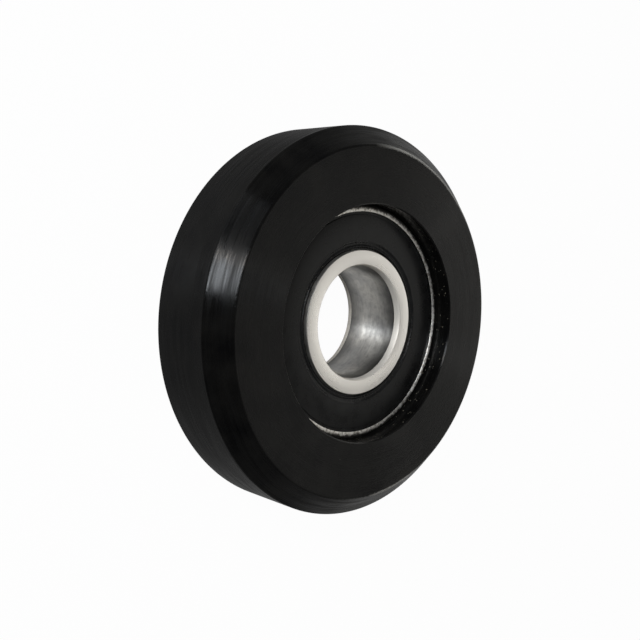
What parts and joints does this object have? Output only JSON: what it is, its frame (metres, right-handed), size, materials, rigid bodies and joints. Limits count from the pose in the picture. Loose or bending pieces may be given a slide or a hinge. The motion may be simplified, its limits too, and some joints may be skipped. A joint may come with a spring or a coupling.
{
  "type": "bearing guide wheel",
  "caption": "Black plastic track wheel with a plain tread and bevelled edges, on a sealed deep groove ball bearing set below its front face.",
  "frame": {"origin": "centre of the wheel's back face, which it lies on", "axes": "+Z along the axle, from the back face to the front face with the deeper recess; X and Y lie in the plane of the wheel, with the first ball on +X"},
  "size_m": [0.102, 0.102, 0.028],
  "materials": {
    "black_nylon": "black machined nylon, satin, with fine turning marks",
    "outer_ring_steel": "ground bearing steel, slightly mottled",
    "inner_ring_steel": "ground bearing steel, satin face and honed bore",
    "ball_steel": "polished bearing steel",
    "cage_steel": "pressed sheet steel",
    "insert_steel": "pressed sheet steel",
    "seal_rubber": "moulded black nitrile rubber, half gloss"
  },
  "bodies": {
    "inner_ring": {"inner_ring": "inner_ring_steel"},
    "wheel": {"wheel_body": "black_nylon", "outer_ring": "outer_ring_steel", "seal_front": "seal_rubber", "seal_back": "seal_rubber", "seal_front_insert": "insert_steel", "seal_back_insert": "insert_steel"},
    "cage": {"cage_front": "cage_steel", "cage_back": "cage_steel", "cage_rivets": "cage_steel"},
    "ball_1": {"ball_1": "ball_steel"},
    "ball_2": {"ball_2": "ball_steel"},
    "ball_3": {"ball_3": "ball_steel"},
    "ball_4": {"ball_4": "ball_steel"},
    "ball_5": {"ball_5": "ball_steel"},
    "ball_6": {"ball_6": "ball_steel"},
    "ball_7": {"ball_7": "ball_steel"},
    "ball_8": {"ball_8": "ball_steel"},
    "ball_9": {"ball_9": "ball_steel"}
  },
  "joints": [
    {"name": "wheel_spin", "type": "hinge", "parent": "inner_ring", "child": "wheel", "pos_m": [0, 0, 0.013], "axis": [0, 0, 1], "continuous": true},
    {"name": "cage_spin", "type": "hinge", "parent": "inner_ring", "child": "cage", "pos_m": [0, 0, 0.013], "axis": [0, 0, 1], "continuous": true},
    {"name": "ball_1_spin", "type": "hinge", "parent": "cage", "child": "ball_1", "pos_m": [0.023, 0, 0.013], "axis": [0, 0, 1], "continuous": true},
    {"name": "ball_2_spin", "type": "hinge", "parent": "cage", "child": "ball_2", "pos_m": [0.01762, 0.01478, 0.013], "axis": [0, 0, 1], "continuous": true},
    {"name": "ball_3_spin", "type": "hinge", "parent": "cage", "child": "ball_3", "pos_m": [0.00399, 0.02265, 0.013], "axis": [0, 0, 1], "continuous": true},
    {"name": "ball_4_spin", "type": "hinge", "parent": "cage", "child": "ball_4", "pos_m": [-0.0115, 0.01992, 0.013], "axis": [0, 0, 1], "continuous": true},
    {"name": "ball_5_spin", "type": "hinge", "parent": "cage", "child": "ball_5", "pos_m": [-0.02161, 0.00787, 0.013], "axis": [0, 0, 1], "continuous": true},
    {"name": "ball_6_spin", "type": "hinge", "parent": "cage", "child": "ball_6", "pos_m": [-0.02161, -0.00787, 0.013], "axis": [0, 0, 1], "continuous": true},
    {"name": "ball_7_spin", "type": "hinge", "parent": "cage", "child": "ball_7", "pos_m": [-0.0115, -0.01992, 0.013], "axis": [0, 0, 1], "continuous": true},
    {"name": "ball_8_spin", "type": "hinge", "parent": "cage", "child": "ball_8", "pos_m": [0.00399, -0.02265, 0.013], "axis": [0, 0, 1], "continuous": true},
    {"name": "ball_9_spin", "type": "hinge", "parent": "cage", "child": "ball_9", "pos_m": [0.01762, -0.01478, 0.013], "axis": [0, 0, 1], "continuous": true}
  ],
  "couplings": [
    {"joint": "cage_spin", "follows": "wheel_spin", "ratio": 0.60353},
    {"joint": "ball_1_spin", "follows": "wheel_spin", "ratio": 2.3112},
    {"joint": "ball_2_spin", "follows": "wheel_spin", "ratio": 2.3112},
    {"joint": "ball_3_spin", "follows": "wheel_spin", "ratio": 2.3112},
    {"joint": "ball_4_spin", "follows": "wheel_spin", "ratio": 2.3112},
    {"joint": "ball_5_spin", "follows": "wheel_spin", "ratio": 2.3112},
    {"joint": "ball_6_spin", "follows": "wheel_spin", "ratio": 2.3112},
    {"joint": "ball_7_spin", "follows": "wheel_spin", "ratio": 2.3112},
    {"joint": "ball_8_spin", "follows": "wheel_spin", "ratio": 2.3112},
    {"joint": "ball_9_spin", "follows": "wheel_spin", "ratio": 2.3112}
  ]
}
